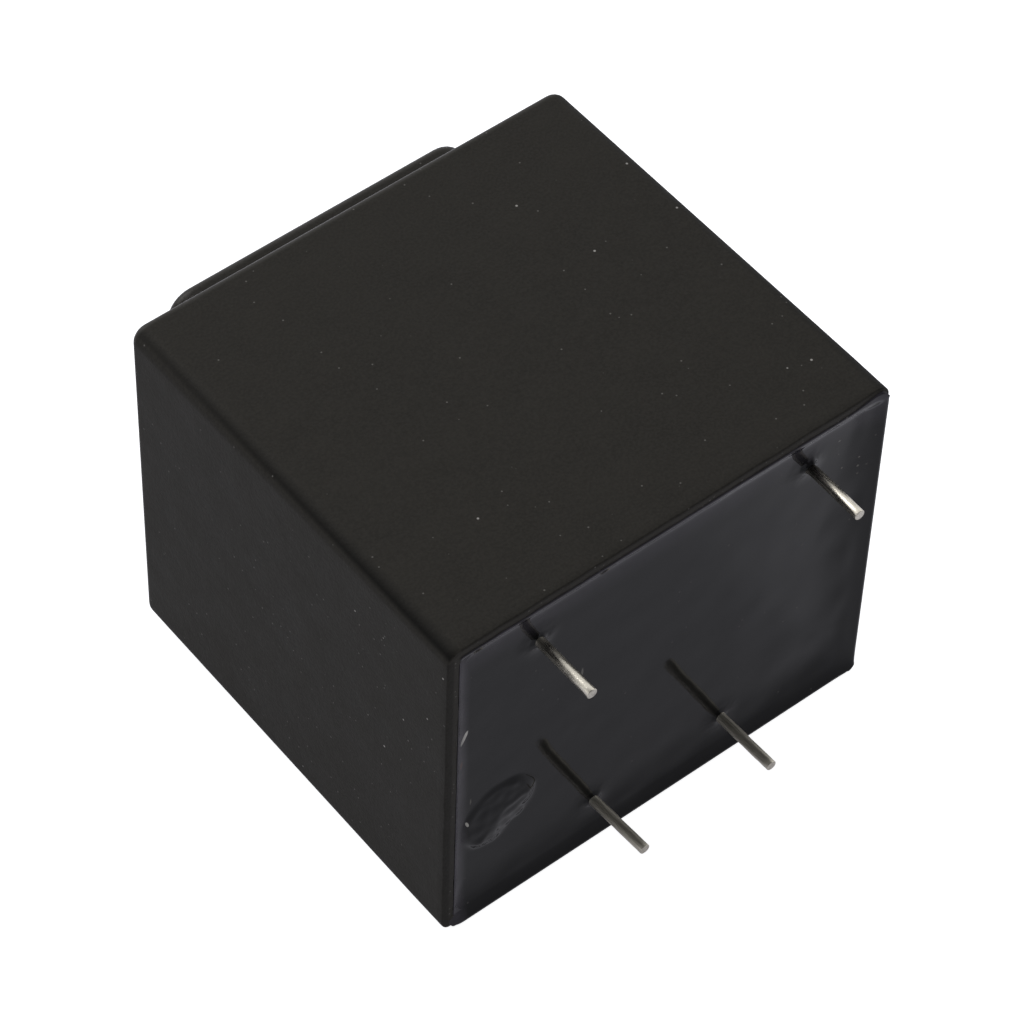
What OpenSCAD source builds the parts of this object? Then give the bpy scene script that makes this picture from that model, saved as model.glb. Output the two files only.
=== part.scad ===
// Potted mains transformer for a circuit board: an EI core with a two-chamber bobbin,
// sealed with resin in a moulded cup. It lies on a broad side wall. Its pins point along
// -Y, and the rim of the cup is the seating plane at y = 0.

/* [Core] */
// Width of the centre leg
leg_w = 10; // [8:0.1:14]
// Width of each side leg
side_leg_w = 5; // [4:0.1:7]
// Width of the yokes that join the legs
yoke_w = 5; // [4.5:0.1:7]
// Width of each winding window
window_w = 5; // [4.5:0.1:8]
// Length of each winding window
window_l = 15; // [12:0.1:20]
// Thickness of one lamination
sheet_t = 0.48; // [0.35:0.01:0.6]
// Oxide film between two laminations
sheet_gap = 0.02; // [0.01:0.01:0.05]
// Number of layers in the stack
sheet_count = 46; // [20:1:60]
// Gap where an E meets its I
butt_gap = 0.02; // [0.01:0.01:0.1]
// Height of the core above the board
core_lift = 5.3; // [5.1:0.1:8]

/* [Bobbin] */
// Gap between the centre leg and the tube
tube_gap = 0.2; // [0.1:0.05:0.4]
// Wall of the tube
tube_wall = 0.6; // [0.5:0.1:1]
// Outside corner radius of the tube
tube_r = 0.8; // [0.5:0.1:1]
// Thickness of the end flanges
flange_t = 0.8; // [0.6:0.1:1.2]
// Corner radius of the flanges
flange_r = 1.2; // [0.5:0.1:2]
// Gap between a flange and the side legs
flange_side_gap = 0.2; // [0.1:0.05:0.4]
// Gap between a flange and the yokes
flange_end_gap = 0.1; // [0.05:0.05:0.3]
// Flange left proud of the thicker winding
flange_proud = 0.25; // [0.1:0.05:0.4]
// Thickness of the wall between the two chambers
divider_t = 0.9; // [0.6:0.1:1.5]
// Distance of that wall from the middle, towards the secondary
divider_shift = 0.5; // [0:0.1:1]

/* [Pin rails] */
// Length of a pin rail
rail_l = 25; // [23:0.5:28]
// Height of the rails above the board
rail_lift = 2.4; // [2.2:0.1:3]
// Gap between the rails and the core
rail_gap = 0.1; // [0.05:0.05:0.3]
// Set-back of a rail from the outer face of the yoke
rail_inset = 0.2; // [0.1:0.1:0.5]
// Width of the wire notches between the pin places
notch_w = 1.2; // [0.8:0.1:1.6]
// Depth of the wire notches
notch_d = 1.4; // [0.8:0.1:1.6]
// Play between a wire and the slot it passes through
slot_gap = 0.15; // [0.1:0.05:0.3]

/* [Windings] */
// Depth of the primary winding
primary_build = 2.8; // [1.5:0.1:3]
// Depth of the secondary winding
secondary_build = 2.6; // [1.5:0.1:3]
// Thickness of the tape round each winding
tape_t = 0.15; // [0.05:0.05:0.2]
// Gap between a winding and the chamber's walls
winding_gap = 0.05; // [0.02:0.01:0.2]

/* [Pins] */
// Radius of a pin
pin_r = 0.35; // [0.25:0.05:0.4]
// Length of a pin below the board face
pin_tail = 4.6; // [3:0.1:6]
// Width of the square shank in the rail
shank_w = 0.6; // [0.4:0.05:0.7]
// Depth of the shank in the rail
shank_seat = 2.2; // [1.5:0.1:2.6]
// Length of round pin inside the resin
pin_sunk = 0.15; // [0.1:0.05:0.3]
// Chamfer at the tip of a pin
tip_chamfer = 0.12; // [0.05:0.01:0.2]
// Distance between neighbouring pin places in a rail
grid = 5; // [2.5:0.5:5]
// Distance between the two rows of pins
row_pitch = 20; // [18:0.1:22]
// Grid steps from the middle to a primary pin
primary_step = 2; // [1:1:2]
// Grid steps from the middle to a secondary pin
secondary_step = 1; // [1:1:2]

/* [Lead-outs] */
// Radius of the primary wires
primary_wire_r = 0.15; // [0.1:0.01:0.2]
// Radius of the secondary wires
secondary_wire_r = 0.2; // [0.1:0.01:0.25]
// Distance of the primary wires from the middle where they leave the winding
primary_exit_x = 6; // [3:0.1:6.5]
// Distance of the secondary wires from the middle where they leave the winding
secondary_exit_x = 2; // [1.5:0.1:3]
// Gap between the wires and the rail above them
wire_gap = 0.06; // [0.04:0.01:0.1]
// Turns of primary wire round a pin's shank
primary_turns = 3; // [1:1:4]
// Turns of secondary wire round a pin's shank
secondary_turns = 2; // [1:1:3]
// Thickness of the solder over the wrapped wire
solder_skin = 0.08; // [0.05:0.01:0.2]

/* [Case] */
// Wall of the case
wall = 0.9; // [0.7:0.05:1.5]
// Gap between the core and the side walls, along the rows
core_side_gap = 0.35; // [0.32:0.01:1]
// Gap between the core and the broad walls
core_broad_gap = 0.25; // [0.1:0.01:1]
// Gap between the core and the closed end
core_end_gap = 1.2; // [0.5:0.1:2]
// Radius of the long outside edges
case_r = 1; // [0.95:0.05:2]
// Radius of the outside edges of the closed end
case_end_r = 0.9; // [0.4:0.05:0.95]
// Radius of the inside corners
inside_r = 0.45; // [0.42:0.01:0.9]
// Radius of the inside edges of the closed end
inside_end_r = 0.4; // [0.2:0.05:0.4]
// Distance of the case from the middle of the pins
case_shift = -0.3; // [-0.3:0.01:0.3]

/* [Coil dome] */
// Gap between the coil and the dome, along the rows
dome_side_gap = 0.45; // [0.35:0.05:1]
// Gap between the coil and the dome, across the rows
dome_broad_gap = 1; // [0.2:0.05:1.5]
// Gap between the coil and the top of the dome
dome_end_gap = 0.8; // [0.2:0.05:1]
// Radius of the dome's corners
dome_r = 1.9; // [1.4:0.1:3]
// Radius of the dome's end edges
dome_end_r = 0.8; // [0.3:0.1:1.1]

/* [Resin] */
// Depth of the resin's face below the rim
resin_recess = 0.4; // [0.2:0.05:0.6]
// Distance from the rim to the top of the resin that climbs the wall
resin_stop = 0.05; // [0.03:0.01:0.1]
// Radius of the hollow curve where the resin climbs the wall
climb_r = 1; // [0.8:0.05:2]
// Flat left along the wall at the top of that curve
climb_land = 0.08; // [0.05:0.01:0.2]
// Place of the blister along the rows
blister_x = -12.3; // [-12.4:0.1:12]
// Place of the blister across the rows
blister_y = 5; // [-8:0.1:8]
// Width of the blister
blister_w = 5.8; // [2:0.1:6]
// Height of the blister
blister_h = 0.22; // [0.1:0.01:0.3]

/* [Hidden] */
$fn = 64;
cut = 1; // how far a cutting shape runs past what it cuts
front = -1; // side of the primary row
back = 1; // side of the secondary row

core_w = leg_w + 2 * window_w + 2 * side_leg_w;
core_d = window_l + 2 * yoke_w;
layer = sheet_t + sheet_gap;
stack_h = sheet_count * layer - sheet_gap;
core_mid = core_lift + stack_h / 2;

tube_w = leg_w + 2 * (tube_gap + tube_wall);
tube_h = stack_h + 2 * (tube_gap + tube_wall);
flange_w = leg_w + 2 * (window_w - flange_side_gap);
flange_h = tube_h + 2 * (max(primary_build, secondary_build) + tape_t + flange_proud);
bobbin_l = window_l - 2 * flange_end_gap;
chamber_end = bobbin_l / 2 - flange_t;
rail_from = bobbin_l / 2;
rail_to = core_d / 2 - rail_inset;
rail_h = core_lift - rail_gap - rail_lift;
wrap_r = shank_w / sqrt(2);

inside_w = core_w + 2 * core_side_gap;
inside_d = core_d + 2 * core_broad_gap;
inside_h = core_lift + stack_h + core_end_gap;
case_w = inside_w + 2 * wall;
case_d = inside_d + 2 * wall;
case_h = inside_h + wall;
dome_inside_w = flange_w + 2 * dome_side_gap;
dome_inside_d = bobbin_l + 2 * dome_broad_gap;
dome_inside_h = core_mid + flange_h / 2 + dome_end_gap - inside_h;

function row_y(side) = side * row_pitch / 2;
function pin_x(side, x) = x * grid * (side == front ? primary_step : secondary_step);
function exit_x(side, x) = x * (side == front ? primary_exit_x : secondary_exit_x);
function wire_r(side) = side == front ? primary_wire_r : secondary_wire_r;
function wire_z(side) = rail_lift - wire_gap - wire_r(side);
function build(side) = side == front ? primary_build : secondary_build;
function chamber_l(side) = chamber_end - side * divider_shift - divider_t / 2;
function winding_l(side) = chamber_l(side) - 2 * winding_gap;
function winding_y(side) = side * (chamber_end - chamber_l(side) / 2);
function turns(side) = side == front ? primary_turns : secondary_turns;
function turn_pitch(side) = 1.9 * wire_r(side);
function wrap_h(side) = wire_gap + 2 * wire_r(side) + (turns(side) - 1) * turn_pitch(side);
function wire_bend(side, x) = [exit_x(side, x), side * (rail_from + wire_r(side)), wire_z(side)];
function wire_end(side, x) =
    [pin_x(side, x) - x * (wrap_r + wire_r(side)), row_y(side), wire_z(side)];
function solder_r(side) = norm([wrap_r + 2 * wire_r(side), wrap_h(side)]) + solder_skin;

// Every shape below is drawn upright, with the board at z = 0 and the closed end up.
// This lays the part on a broad wall: up becomes +Y, and the front row comes out on top.
module lay() {
    rotate([-90, 0, 0]) children();
}

module rounded_rect(w, d, r) {
    square([w, d - 2 * r], center = true);
    square([w - 2 * r, d], center = true);
    for (x = [-1, 1], y = [-1, 1])
        translate([x * (w / 2 - r), y * (d / 2 - r)]) circle(r);
}

// Section through a block: a rectangle standing on y = 0 whose two upper corners are round.
module block_section(w, h, r) {
    difference() {
        translate([-w / 2, 0]) square([w, h]);
        for (side = [0, 1]) mirror([side, 0]) translate([w / 2 - r, h - r]) difference() {
            square(r + cut);
            circle(r);
        }
    }
}

// Block with round corners and round top edges, standing on z = 0. Two blocks cross in it, one
// along each axis, so that no two of its pieces only touch.
module rounded_block(w, d, h, corner_r, top_r) {
    flat_w = w - 2 * corner_r;
    flat_d = d - 2 * corner_r;
    rotate([90, 0, 0]) linear_extrude(flat_d, center = true) block_section(w, h, top_r);
    rotate([90, 0, 90]) linear_extrude(flat_w, center = true) block_section(d, h, top_r);
    for (x = [-1, 1], y = [-1, 1]) translate([x * flat_w / 2, y * flat_d / 2, 0])
        rotate_extrude() intersection() {
            block_section(2 * corner_r, h, top_r);
            square([corner_r, h]);
        }
}

// Extrudes a section along the core's legs, centred on the core's height.
module along_legs(l, y = 0) {
    translate([0, y, core_mid]) rotate([90, 0, 0]) linear_extrude(l, center = true) children();
}

// Round wire from one point to another.
module wire(from, to, r) {
    run = to - from;
    flat = norm([run.x, run.y]);
    translate(from) rotate([0, atan2(flat, run.z), atan2(run.y, run.x)]) cylinder(norm(run), r, r);
}

// One E with its back at -y.
module e_outline() {
    half_w = core_w / 2;
    half_leg = leg_w / 2;
    side_leg_x = half_leg + window_w;
    back_y = -core_d / 2;
    root_y = back_y + yoke_w;
    end_y = root_y + window_l - butt_gap / 2;
    polygon([
        [-half_w, back_y], [half_w, back_y], [half_w, end_y], [side_leg_x, end_y],
        [side_leg_x, root_y], [half_leg, root_y], [half_leg, end_y], [-half_leg, end_y],
        [-half_leg, root_y], [-side_leg_x, root_y], [-side_leg_x, end_y], [-half_w, end_y]
    ]);
}

// The I that closes the open side of an E.
module i_outline() {
    translate([-core_w / 2, core_d / 2 - yoke_w + butt_gap / 2])
        square([core_w, yoke_w - butt_gap / 2]);
}

// A stack of one kind of lamination, each layer turned round on the one below.
module interleaved() {
    for (i = [0:sheet_count - 1])
        translate([0, 0, core_lift + i * layer]) rotate(180 * (i % 2))
            linear_extrude(sheet_t) children();
}

module e_laminations() {
    color("#6d6f73") lay() interleaved() e_outline();
}

module i_laminations() {
    color("#7b7d81") lay() interleaved() i_outline();
}

// Bar over a yoke that holds a row of pins, with notches between the pin places.
module rail(side) {
    root = rail_from - flange_t;
    rotate(side == front ? 180 : 0) translate([0, 0, rail_lift]) difference() {
        translate([-rail_l / 2, root, 0]) cube([rail_l, rail_to - root, rail_h]);
        for (i = [-1.5:1:1.5])
            translate([i * grid - notch_w / 2, rail_to - notch_d, -cut])
                cube([notch_w, notch_d + cut, rail_h + 2 * cut]);
    }
}

// Flanges, chamber wall and rails, without the tube.
module bobbin_outside() {
    for (side = [front, back]) {
        along_legs(flange_t, side * (bobbin_l - flange_t) / 2)
            rounded_rect(flange_w, flange_h, flange_r);
        rail(side);
    }
    along_legs(divider_t, divider_shift) rounded_rect(flange_w, flange_h, flange_r);
}

// Slot in a flange for the wire that leaves the winding there.
module wire_slot(side, x) {
    half = wire_r(side) + slot_gap;
    translate([exit_x(side, x) - half, side * (rail_from - flange_t / 2) - flange_t / 2 - slot_gap, 0])
        cube([2 * half, flange_t + 2 * slot_gap, wire_z(side) + half]);
}

// Square part of a pin between two heights.
module shank(side, x, from, to) {
    translate([pin_x(side, x) - shank_w / 2, row_y(side) - shank_w / 2, from])
        cube([shank_w, shank_w, to - from]);
}

module bobbin() {
    color("#e6dfc8") lay() difference() {
        union() {
            bobbin_outside();
            along_legs(bobbin_l) rounded_rect(tube_w, tube_h, tube_r);
        }
        along_legs(bobbin_l + 2 * cut)
            square([tube_w - 2 * tube_wall, tube_h - 2 * tube_wall], center = true);
        for (side = [front, back], x = [-1, 1]) {
            wire_slot(side, x);
            shank(side, x, rail_lift - cut, rail_lift + shank_seat);
        }
    }
}

// Outline of the tube with something of even depth wound round it.
module wound(depth) {
    rounded_rect(tube_w + 2 * depth, tube_h + 2 * depth, tube_r + depth);
}

// Band in one chamber, from one depth on the tube to another.
module band(side, inner, outer) {
    along_legs(winding_l(side), winding_y(side)) difference() {
        wound(outer);
        wound(inner);
    }
}

module primary_winding() {
    color("#b5622e") lay() band(front, 0, primary_build);
}

module secondary_winding() {
    color("#b5622e") lay() band(back, 0, secondary_build);
}

module primary_tape() {
    color("#d9b84a") lay() band(front, primary_build, primary_build + tape_t);
}

module secondary_tape() {
    color("#d9b84a") lay() band(back, secondary_build, secondary_build + tape_t);
}

// Pin with a round tail and a square shank that grips the rail and the wire.
module pin_shape(side, x) {
    shank(side, x, resin_recess + pin_sunk, rail_lift + shank_seat);
    translate([pin_x(side, x), row_y(side), -pin_tail]) {
        cylinder(tip_chamfer, pin_r - tip_chamfer, pin_r);
        translate([0, 0, tip_chamfer])
            cylinder(pin_tail - tip_chamfer + resin_recess + pin_sunk, pin_r, pin_r);
    }
}

module pin(side, x) {
    color("#c9c6bd") lay() pin_shape(side, x);
}

// Wire from the end of a winding, through its slot, to some turns round a shank.
module lead_shape(side, x) {
    r = wire_r(side);
    start = [exit_x(side, x), winding_y(side) + side * winding_l(side) / 2, wire_z(side)];
    wire(start, wire_bend(side, x), r);
    translate(wire_bend(side, x)) sphere(r);
    wire(wire_bend(side, x), wire_end(side, x), r);
    translate([pin_x(side, x), row_y(side), wire_z(side)]) rotate_extrude()
        for (i = [0:turns(side) - 1]) translate([wrap_r + r, -i * turn_pitch(side)]) circle(r);
}

module lead(side, x) {
    color("#b5622e") lay() lead_shape(side, x);
}

// Ball of solder that hangs from the rail round a wrapped shank.
module solder_outside(side, x) {
    r = solder_r(side);
    translate([pin_x(side, x), row_y(side), rail_lift]) difference() {
        sphere(r);
        translate([-r - cut, -r - cut, 0]) cube([2 * (r + cut), 2 * (r + cut), r + cut]);
    }
}

// The solder goes over the turns, and leaves room for the wire that comes in from the slot.
module solder(side, x) {
    color("#b9bcc0") lay() difference() {
        solder_outside(side, x);
        translate([pin_x(side, x), row_y(side), rail_lift - wrap_h(side)])
            cylinder(wrap_h(side) + cut, wrap_r + 2 * wire_r(side), wrap_r + 2 * wire_r(side));
        shank(side, x, 0, rail_lift);
        wire(wire_bend(side, x), wire_end(side, x), wire_r(side));
    }
}

// The space inside the cup, from a height up to the closed end and into the dome.
module cavity(from) {
    translate([case_shift, 0, from])
        rounded_block(inside_w, inside_d, inside_h - from, inside_r, inside_end_r);
    translate([case_shift, 0, inside_h - wall])
        rounded_block(dome_inside_w, dome_inside_d, dome_inside_h + wall, dome_r - wall, inside_end_r);
}

module case() {
    color("#2e2d2b") lay() difference() {
        union() {
            translate([case_shift, 0, 0]) rounded_block(case_w, case_d, case_h, case_r, case_end_r);
            translate([case_shift, 0, inside_h])
                rounded_block(dome_inside_w + 2 * wall, dome_inside_d + 2 * wall,
                    dome_inside_h + wall, dome_r, dome_end_r);
        }
        cavity(-cut);
    }
}

// Recess in the resin: a flat face with a hollow curve where the resin climbs the wall.
module recess() {
    left = climb_r - resin_recess + resin_stop;
    spread = climb_r - sqrt(climb_r * climb_r - left * left);
    past_wall = 2 * (spread - climb_land);
    translate([case_shift, 0, resin_recess - climb_r - cut])
        rounded_block(inside_w + past_wall, inside_d + past_wall, climb_r + cut,
            climb_r + inside_r, climb_r);
}

// Ball whose top stands in the face as the low blister that a trapped bubble raised.
module blister() {
    ball_r = (blister_w * blister_w / 4 + blister_h * blister_h) / (2 * blister_h);
    translate([blister_x, blister_y, resin_recess + ball_r - blister_h]) sphere(ball_r);
}

// What the resin closes round: the core, the coil and what hangs on the rails.
module buried() {
    translate([-core_w / 2, -core_d / 2, core_lift]) cube([core_w, core_d, stack_h]);
    along_legs(window_l) rounded_rect(tube_w, tube_h, tube_r);
    bobbin_outside();
    for (side = [front, back]) {
        along_legs(winding_l(side), winding_y(side)) wound(build(side) + tape_t);
        for (x = [-1, 1]) {
            pin_shape(side, x);
            lead_shape(side, x);
            solder_outside(side, x);
        }
    }
}

module potting() {
    color("#2f3033") lay() difference() {
        cavity(resin_stop);
        difference() {
            recess();
            blister();
        }
        buried();
    }
}

module primary_pin_1() { pin(front, -1); }
module primary_pin_2() { pin(front, 1); }
module secondary_pin_1() { pin(back, -1); }
module secondary_pin_2() { pin(back, 1); }
module primary_lead_1() { lead(front, -1); }
module primary_lead_2() { lead(front, 1); }
module secondary_lead_1() { lead(back, -1); }
module secondary_lead_2() { lead(back, 1); }
module primary_solder_1() { solder(front, -1); }
module primary_solder_2() { solder(front, 1); }
module secondary_solder_1() { solder(back, -1); }
module secondary_solder_2() { solder(back, 1); }

case();
potting();
bobbin();
e_laminations();
i_laminations();
primary_winding();
secondary_winding();
primary_tape();
secondary_tape();
primary_pin_1();
primary_pin_2();
secondary_pin_1();
secondary_pin_2();
primary_lead_1();
primary_lead_2();
secondary_lead_1();
secondary_lead_2();
primary_solder_1();
primary_solder_2();
secondary_solder_1();
secondary_solder_2();
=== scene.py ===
"""Potted mains transformer for a circuit board: its pieces, finishes, stage and camera."""

import math

import bmesh
import bpy
from bpy.props import FloatProperty, FloatVectorProperty, IntProperty, PointerProperty
from bpy.types import Operator, Panel, PropertyGroup
from mathutils import Matrix, Quaternion, Vector, noise


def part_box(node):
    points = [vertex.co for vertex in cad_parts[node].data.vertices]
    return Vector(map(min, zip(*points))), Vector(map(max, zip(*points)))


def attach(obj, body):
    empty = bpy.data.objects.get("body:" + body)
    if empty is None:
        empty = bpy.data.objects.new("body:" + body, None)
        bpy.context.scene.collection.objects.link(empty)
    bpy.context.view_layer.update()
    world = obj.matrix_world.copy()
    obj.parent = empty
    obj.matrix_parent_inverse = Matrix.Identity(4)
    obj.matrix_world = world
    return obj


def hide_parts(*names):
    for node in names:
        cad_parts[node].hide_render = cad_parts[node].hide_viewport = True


bl_info = {
    "name": "Potted mains transformer",
    "version": (1, 0, 0),
    "blender": (4, 5, 0),
    "location": "View3D > Sidebar > Transformer",
    "description": "Builds a potted transformer for a circuit board on its packed frame",
    "category": "Object",
}

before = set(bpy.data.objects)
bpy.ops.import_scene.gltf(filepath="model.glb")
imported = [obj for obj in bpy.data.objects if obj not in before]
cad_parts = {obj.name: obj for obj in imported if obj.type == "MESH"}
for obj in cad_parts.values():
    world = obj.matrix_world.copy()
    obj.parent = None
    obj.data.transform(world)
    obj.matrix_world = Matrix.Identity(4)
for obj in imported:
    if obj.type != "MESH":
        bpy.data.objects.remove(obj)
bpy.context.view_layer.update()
CASE_LOW, CASE_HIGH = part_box("case")
PIN_NODES = ("primary_pin_1", "primary_pin_2", "secondary_pin_1", "secondary_pin_2")
MM = 0.001


# Sizes and colours

def length(name, text, default_mm):
    return FloatProperty(name=name, description=text, default=default_mm * MM, unit="LENGTH", precision=5)


def colour(name, text, default):
    return FloatVectorProperty(
        name=name, description=text, default=default, size=3, min=0, max=1, subtype="COLOR")


def angle(name, text, degrees):
    return FloatProperty(name=name, description=text, default=math.radians(degrees), subtype="ANGLE")


class CupSizes(PropertyGroup):
    wall: length("Wall", "Thickness of the cup's walls", 0.9)
    draft: length("Draft", "How far each wall leans in towards the closed end", 0.16)
    edge_r: length("Long edge radius", "Radius of the four long outside edges", 1.0)
    end_r: length("Closed end radius", "Radius round the closed end", 0.7)
    inside_r: length("Inside radius", "Radius of the inside corners", 0.45)
    dome_foot: length("Dome foot", "Depth at which the dome leaves the closed end", 30.22)
    dome_half_x: length("Dome half width", "Half the dome's size along the pin rows", 11.15)
    dome_half_z: length("Dome half height", "Half the dome's size across the pin rows", 9.3)
    dome_r: length("Dome corner radius", "Radius of the dome's corners", 1.9)
    dome_end_r: length("Dome edge radius", "Radius round the dome's end", 0.8)
    rim_wear: length("Rim unevenness", "How far the moulded rim wanders", 0.035)
    plastic: colour("Plastic", "Matt moulded plastic of the cup", (0.0205, 0.0192, 0.0170))


class ResinSizes(PropertyGroup):
    face_depth: length("Face depth", "How far the resin face lies below the rim", 0.385)
    grid_step: length("Grid step", "Spacing of the resin face's mesh", 0.13)
    blister_r: length("Blister radius", "Radius of the low blister that a bubble raised", 2.9)
    blister_h: length("Blister height", "Height of the blister's ridge", 0.28)
    resin: colour("Resin", "Black casting resin", (0.0042, 0.0043, 0.0047))


class PinSizes(PropertyGroup):
    radius: length("Pin radius", "Radius of the round pins", 0.35)
    shank_half: length("Shank half width", "Half the width of the square shank in the resin", 0.3)
    shank_from: length("Shank start", "Depth at which a pin turns square", 0.55)
    corner_steps: IntProperty(
        name="Corner steps", description="Steps in each quarter of a pin", default=8, min=2)
    tin: colour("Tin", "Bright tin plating", (0.78, 0.74, 0.65))


class StageSizes(PropertyGroup):
    azimuth: angle("Azimuth", "Camera's direction round the part", -40.401)
    elevation: angle("Elevation", "Camera's height angle", 51.471)
    roll: angle("Roll", "Camera's turn about its own axis", 2.21)
    distance: length("Distance", "From the camera to the point it looks at", 281.18)
    target_x: length("Target X", "Point that the camera looks at, along the rows", 0.07)
    target_y: length("Target Y", "Point that the camera looks at, in depth", 14.59)
    target_z: length("Target Z", "Point that the camera looks at, in height", -0.672)
    lens: FloatProperty(name="Lens", description="Focal length in millimetres", default=164.25, min=10)
    floor_half: length("Floor", "Half the floor's width", 1500)
    daylight: FloatProperty(
        name="Soft light", description="Strength of the even light all round", default=0.5, min=0)
    room: FloatProperty(
        name="Room", description="Brightness of the room in front, as gloss shows it", default=0.12, min=0)
    softbox: FloatProperty(
        name="Softbox", description="Power of the large lamp behind and above", default=13.0, min=0,
        subtype="POWER")


# Mesh helpers

MERGE_DISTANCE = 1e-7
TINY = 1e-8
LEAST_CORNER = 0.02 * MM


def mm(*values):
    return Vector(values) * MM


def turned_upright(bm, verts):
    """Turns a flat grid so that it faces along the depth axis."""
    bmesh.ops.rotate(bm, verts=verts, cent=(0, 0, 0), matrix=Matrix.Rotation(math.pi / 2, 3, "X"))


def finish_mesh(bm, name, soft=True):
    """Turns a bmesh into an object at the origin, with doubles merged and faces outwards."""
    bmesh.ops.remove_doubles(bm, verts=bm.verts, dist=MERGE_DISTANCE)
    bmesh.ops.recalc_face_normals(bm, faces=bm.faces)
    for face in bm.faces:
        face.smooth = soft
    mesh = bpy.data.meshes.new(name)
    bm.to_mesh(mesh)
    bm.free()
    piece = bpy.data.objects.new(name, mesh)
    bpy.context.scene.collection.objects.link(piece)
    return piece


def settle(piece, slot, *nodes):
    """Fixes a piece to the part and hides the CAD nodes that it replaces."""
    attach(piece, "root")
    if nodes:
        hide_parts(*nodes)


def flat_shading(piece):
    modifier = piece.modifiers.new("Even faces", "WEIGHTED_NORMAL")
    modifier.weight = 80
    modifier.keep_sharp = True


class Ring:
    """One rounded rectangle of a lofted shape, square to the depth axis."""

    def __init__(self, y, half_x, half_z, radius):
        self.y, self.half_x, self.half_z, self.radius = y, half_x, half_z, radius

    def moved(self, place, centre, old):
        """Where a point of another ring comes to lie on this one."""
        x, z = place.x - centre.x, place.z - centre.z
        flat_x, flat_z = old.half_x - old.radius, old.half_z - old.radius
        side_x, side_z = math.copysign(1, x), math.copysign(1, z)
        over_x, over_z = abs(x) - flat_x, abs(z) - flat_z
        new_x, new_z = self.half_x - self.radius, self.half_z - self.radius
        if over_x > -TINY and over_z > -TINY:
            turned = Vector((over_x, over_z)).normalized() * self.radius
            x, z = side_x * (new_x + turned.x), side_z * (new_z + turned.y)
        elif over_x > over_z:
            x, z = side_x * self.half_x, z / flat_z * new_z
        else:
            x, z = x / flat_x * new_x, side_z * self.half_z
        return Vector((centre.x + x, self.y, centre.z + z))


def lofted(centre, rings, steps, cuts=0):
    """A closed skin through a row of rounded rectangles, each extruded from the one before."""
    bm = bmesh.new()
    first = rings[0]
    verts = bmesh.ops.create_grid(bm, x_segments=1, y_segments=1, size=1.0)["verts"]
    bmesh.ops.scale(bm, verts=verts, vec=(first.half_x, first.half_z, 1))
    turned_upright(bm, verts)
    bmesh.ops.translate(bm, verts=verts, vec=(centre.x, first.y, centre.z))
    bmesh.ops.bevel(
        bm, geom=verts, affect="VERTICES", offset=first.radius, segments=steps, profile=0.5, material=-1)
    if cuts:
        sides = sorted(bm.edges, key=lambda e: e.calc_length())[-4:]
        bmesh.ops.subdivide_edges(bm, edges=sides, cuts=cuts)
    edges = list(bm.edges)
    for old, new in zip(rings, rings[1:]):
        made = bmesh.ops.extrude_edge_only(bm, edges=edges)["geom"]
        edges = [g for g in made if isinstance(g, bmesh.types.BMEdge)]
        for v in {v for e in edges for v in e.verts}:
            v.co = new.moved(v.co, centre, old)
    bmesh.ops.edgeloop_fill(bm, edges=edges)
    bmesh.ops.recalc_face_normals(bm, faces=bm.faces)
    return bm


def quarter(y, half_x, half_z, radius, edge_r, steps, up):
    """Rings round a quarter turn, from the side of a block at depth y - up * edge_r to its end at y."""
    rings = []
    for i in range(steps + 1):
        a = math.pi / 2 * i / steps
        inset = edge_r * (1 - math.cos(a))
        depth = y - up * edge_r * (1 - math.sin(a))
        rings.append(Ring(depth, half_x - inset, half_z - inset, max(radius - inset, LEAST_CORNER)))
    return rings


# Material helpers

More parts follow.
